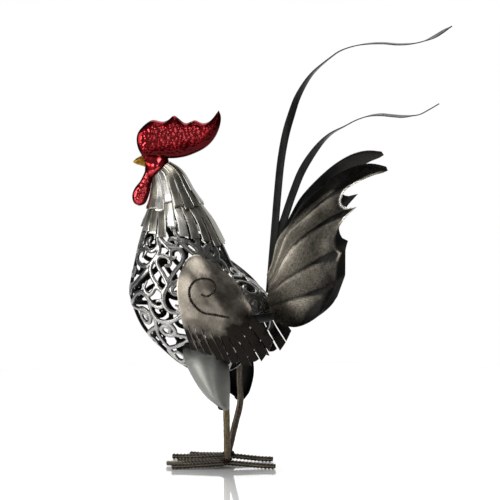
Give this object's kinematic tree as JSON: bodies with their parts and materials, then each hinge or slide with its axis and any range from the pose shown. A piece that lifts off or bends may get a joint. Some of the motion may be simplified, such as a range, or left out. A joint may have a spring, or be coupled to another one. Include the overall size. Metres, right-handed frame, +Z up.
{
  "type": "scrap metal rooster sculpture",
  "caption": "Tabletop rooster figure welded from scrap metal, with an openwork body, cut neck feathers, fringed wings, tail plates and long ribbon tail feathers.",
  "frame": {"origin": "on the floor, under the middle of the whole figure's length and width", "axes": "+Z up, the rooster faces -X, and its left side is -Y"},
  "size_m": [0.3726, 0.1408, 0.5057],
  "materials": {
    "red_enamel": "glossy",
    "brass": "satin",
    "feather_steel": "brushed",
    "pewter_casting": "satin",
    "wing_steel": "brushed",
    "thigh_steel": "satin",
    "rod_steel": "rough",
    "gunmetal": "brushed",
    "black_steel": "satin"
  },
  "bodies": {
    "root": {"comb": "red_enamel", "head": "red_enamel", "beak": "brass", "wattle": "red_enamel", "upper_neck_feathers": "feather_steel", "lower_neck_feathers": "feather_steel", "left_body_half": "pewter_casting", "right_body_half": "pewter_casting", "left_wing": "wing_steel", "right_wing": "wing_steel", "left_thigh": "thigh_steel", "right_thigh": "thigh_steel", "left_tail_tab": "gunmetal", "right_tail_tab": "gunmetal", "left_tail_plate": "gunmetal", "right_tail_plate": "black_steel", "long_tail_ribbon": "black_steel", "short_tail_ribbon": "black_steel", "left_leg": "rod_steel", "right_leg": "rod_steel", "left_long_toe": "rod_steel", "left_outer_toe": "rod_steel", "left_inner_toe": "rod_steel", "right_long_toe": "rod_steel", "right_outer_toe": "rod_steel", "right_inner_toe": "rod_steel"}
  },
  "joints": []
}
